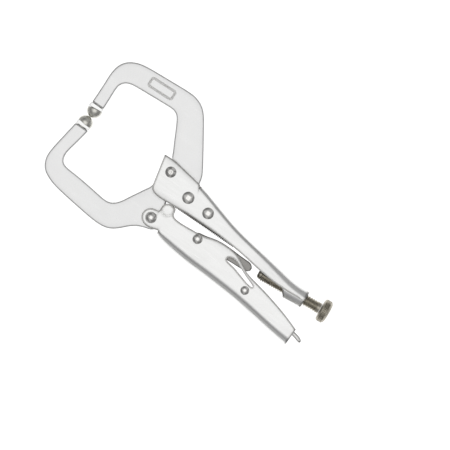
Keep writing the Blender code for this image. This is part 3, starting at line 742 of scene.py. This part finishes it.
def ringed(name, rings, sides=48):
    # a round piece grown from a disc through rings of (height, radius)
    freshStart()
    bpy.ops.mesh.primitive_circle_add(vertices=sides, radius=rings[0][1] * mm, fill_type="NGON",
                                      location=(0.0, 0.0, rings[0][0] * mm))
    piece = named(name)
    bpy.ops.object.transform_apply(location=True)
    editMode(piece, "FACE")
    bpy.ops.mesh.select_all(action="SELECT")
    for (z0, r0), (z1, r1) in zip(rings, rings[1:]):
        bpy.ops.mesh.extrude_region_move(TRANSFORM_OT_translate={"value": (0.0, 0.0, (z1 - z0) * mm)})
        grow = r1 / r0
        bpy.ops.transform.resize(value=(grow, grow, 1.0), center_override=(0.0, 0.0, z1 * mm))
    bpy.ops.object.mode_set(mode="OBJECT")
    outward(piece)
    return piece


def makeKnob():
    wide = screwLine["knobRear"] - screwLine["knobFront"]
    core = knob["radius"] - knob["stud"]
    rimFrom, rimTo = 0.75, wide - 1.15
    rings = [(0.0, 3.1), (0.02, 4.7), (0.35, core - 0.25), (rimFrom, core)]
    for k in range(1, knob["rows"] + 1):
        rings.append((rimFrom + (rimTo - rimFrom) * k / knob["rows"], core))
    rings += [(wide - 0.55, core - 0.5), (wide - 0.16, core - 1.4), (wide, core - 2.9), (wide, 1.2),
              (wide - 0.12, 0.9)]
    piece = ringed("adjustingKnobHead", rings, knob["columns"])
    editMode(piece, "FACE")
    pick(piece, "faces", lambda f: abs(f.normal.z) < 0.1)
    bpy.ops.mesh.inset(thickness=0.12 * mm, use_individual=True, depth=knob["stud"] * mm)
    bpy.ops.object.mode_set(mode="OBJECT")
    fitted(placed(onScrew(piece, screwLine["knobFront"]), smooth=30), "warmNickel", "knob",
           "adjusting_knob", "adjusting_knob")


def makeTube():
    t = tube
    long = t["to"] - t["from"]
    rings = [(0.0, t["bore"]), (0.0, 4.0), (0.5, t["radius"]), (long - 0.35, t["radius"]), (long, 4.15),
             (long, t["bore"] + 0.35), (long - 0.5, t["bore"])]
    for k in range(t["innerTurns"]):
        # inner thread seen in the mouth
        back = long - thread["pitch"] * k
        rings += [(back - 0.9, t["bore"] + t["innerDepth"]), (back - 1.5, t["bore"])]
    piece = ringed("handleTube", rings)
    editMode(piece, "FACE")
    pick(piece, "faces", lambda f: len(f.verts) > 8)
    bpy.ops.mesh.delete(type="FACE")
    bpy.ops.mesh.select_mode(type="EDGE")
    bpy.ops.mesh.select_all(action="DESELECT")
    bpy.ops.mesh.select_non_manifold()
    bpy.ops.mesh.bridge_edge_loops()
    bpy.ops.object.mode_set(mode="OBJECT")
    outward(piece)
    onScrew(piece, t["from"])
    editMode(piece, "FACE")
    bpy.ops.mesh.select_all(action="SELECT")
    slant = math.radians(t["slant"])
    # the front is cut on the slant, where the channel opens out of the tube
    bpy.ops.mesh.bisect(plane_co=(t["mouth"][0] * mm, t["mouth"][1] * mm, 0.0),
                        plane_no=(math.cos(slant), math.sin(slant), 0.0), use_fill=True, clear_inner=True)
    bpy.ops.object.mode_set(mode="OBJECT")
    outward(piece)
    fitted(placed(piece, smooth=35), "sheetNickel", "fixed_side", "fixed_handle")


makeScrew()
makeKnob()
makeTube()
print("screw, knob and tube ready")


spring = {"tab": (52.0, -11.4), "wire": 0.35, "coil": 1.25, "turns": 40, "perTurn": 14,
          "jawHook": 3.75, "tabHook": 1.55}
tongue = {"pairs": [((49.4, -7.0), (54.6, -7.6)), ((49.7, -9.5), (54.3, -9.8)), ((50.1, -12.0), (53.9, -12.1)),
                    ((51.0, -13.0), (53.0, -13.0))], "thick": 1.6, "hole": 0.9}


def makeSpring():
    start = Vector((*pivots["springHook"], 0.0))
    end = Vector((*spring["tab"], 0.0))
    along = (end - start).normalized()
    side = Vector((-along.y, along.x, 0.0))
    up = Vector((0.0, 0.0, 1.0))
    bodyStart = start + along * 6.4
    bodyLong = (end - start).length - 11.4
    points = hookRoute(start, along, up, spring["jawHook"])
    count = spring["turns"] * spring["perTurn"]
    for k in range(count + 1):
        a = 2.0 * math.pi * k / spring["perTurn"]
        points.append(bodyStart + along * (bodyLong * k / count) + side * (spring["coil"] * math.cos(a))
                      + up * (spring["coil"] * math.sin(a)))
    points += hookRoute(end, -along, up, spring["tabHook"])[::-1]
    curve = bpy.data.curves.new("tensionSpringWire", "CURVE")
    curve.dimensions = "3D"
    curve.bevel_depth = spring["wire"] * mm
    curve.bevel_resolution = 2
    curve.use_fill_caps = True
    line = curve.splines.new("POLY")
    line.points.add(len(points) - 1)
    for point, place in zip(line.points, points):
        point.co = (place.x * mm, place.y * mm, place.z * mm, 1.0)
    piece = bpy.data.objects.new("tensionSpringWire", curve)
    bpy.context.scene.collection.objects.link(piece)
    freshStart()
    piece.select_set(True)
    bpy.context.view_layer.objects.active = piece
    bpy.ops.object.convert(target="MESH")
    piece = bpy.context.active_object
    outward(piece)
    placed(piece, smooth=60)
    piece.data.materials.clear()
    piece.data.materials.append(materials["springWire"])
    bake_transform(piece)
    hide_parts("tension_spring")


def hookRoute(place, along, up, reach):
    route = [(2.6, 1.0), (1.2, 1.0), (0.5, 0.97), (0.12, 0.88), (0.0, 0.74), (0.0, 0.0), (0.0, -0.74),
             (0.12, -0.88), (0.5, -0.97), (1.2, -1.0), (2.8, -1.0), (3.7, -0.85), (4.5, -0.45), (5.1, 0.0)]
    return [place + along * a + up * (b * reach) for a, b in route]


def makeTab():
    # the spine's tongue that holds the spring
    piece = smoothedSlab("springTab", tongue)
    drill(piece, spring["tab"], tongue["hole"])
    softEdges(piece, 0.2)
    fitted(placed(piece), "sheetNickel", "fixed_side", "fixed_handle")


makeTab()
makeSpring()
print("spring ready")


stageLook = {"floorDrop": 0.10, "floorSize": 6.0, "paintedLightPool": 0.22, "paintedGlow": 0.74, "skyStrength": 1.2,
             # how strong and how fine the uneven surroundings are away from the zenith
             "patch": 2.2, "patchScale": 1.7,
             # sky brightness by height above the horizon, 0 to 1
             "sky": [(0.0, 0.50), (0.22, 0.46), (0.38, 0.32), (0.50, 0.17), (0.64, 0.21), (0.80, 0.46),
                     (0.90, 0.60), (1.0, 0.64)]}
shot = {"middle": (37.2, -6.1), "view": 225.0, "distance": 1.6, "turn": 35.0, "sensor": 36.0}


def makeFloor():
    freshStart()
    bpy.ops.mesh.primitive_plane_add(size=stageLook["floorSize"], location=(0.04, 0.0, -stageLook["floorDrop"]))
    floor = named("studioFloor")
    g = Graph(bpy.data.materials.new("paleFloor"))
    where = g.add("ShaderNodeTexCoord", output="Object")
    away = g.add("ShaderNodeVectorMath", {"operation": "LENGTH"}, {0: where}, "Value")
    haze = g.add("ShaderNodeTexNoise", None, {"Vector": where, "Scale": 3.0, "Detail": 2.0})
    # painted light: the floor's colour is brightest in a pool round the middle and fades to grey outward
    fade = away.clipped(stageLook["paintedLightPool"], stageLook["paintedLightPool"] * 4.0) + haze * 0.02
    tone = g.ramp(fade, [(0.0, (0.93, 0.93, 0.93)), (0.5, (0.62, 0.62, 0.62)), (1.0, (0.50, 0.50, 0.50))])
    # painted light: the floor glows by emission in the same pool round the middle, though it is no lamp
    g.put(g.shader, "Emission Color", g.ramp(fade, [(0.0, (1.0, 1.0, 1.0)), (0.6, (0.0, 0.0, 0.0))]))
    g.put(g.shader, "Emission Strength", stageLook["paintedGlow"])
    floor.data.materials.append(g.shade(colour=tone, roughness=0.9, metallic=0.0))


def makeSky():
    # bright overhead and dim round the horizon, so that rounded edges read dark
    world = bpy.data.worlds.new("studio")
    bpy.context.scene.world = world
    g = Graph(world, "Background")
    where = g.add("ShaderNodeTexCoord", output="Generated")
    height = g.add("ShaderNodeSeparateXYZ", None, {0: where}, "Z")
    patches = g.add("ShaderNodeTexNoise", None, {"Vector": where, "Scale": stageLook["patchScale"], "Detail": 0.0})
    level = (patches - 0.5) * (1.0 - height) * stageLook["patch"] + height
    most = stageLook["skyStrength"]
    g.put(g.shader, "Color", g.ramp(level, [(place, (light / most, light / most, light / (most - 0.005)))
                                            for place, light in stageLook["sky"]]))
    g.put(g.shader, "Strength", most)


lights = {
    "over": {"place": (0.03, 0.0, 2.3), "aim": (0.03, 0.0, 0.0), "size": 1.7, "power": 4.5},
}


def makeLights():
    for name, form in lights.items():
        freshStart()
        bpy.ops.object.light_add(type="AREA", location=form["place"])
        lamp = bpy.context.active_object
        lamp.name = name
        lamp.data.size = form["size"]
        lamp.data.energy = form["power"]
        aim = Vector(form["aim"]) - Vector(form["place"])
        lamp.rotation_euler = aim.to_track_quat("-Z", "Y").to_euler()


def makeCamera():
    freshStart()
    bpy.ops.object.camera_add(location=(shot["middle"][0] * mm, shot["middle"][1] * mm,
                                        midZ + shot["distance"]))
    camera = bpy.context.active_object
    camera.name = "viewer"
    camera.rotation_euler = (0.0, 0.0, math.radians(shot["turn"]))
    camera.data.sensor_width = shot["sensor"]
    camera.data.lens = shot["sensor"] * shot["distance"] / (shot["view"] * mm)
    camera.data.clip_start = 0.01
    camera.data.clip_end = 20.0
    bpy.context.scene.camera = camera
    bpy.context.scene.view_settings.view_transform = "Standard"


makeFloor()
makeSky()
makeLights()
makeCamera()
freshStart()
print("floor, light and camera ready")

print("visual model ready")
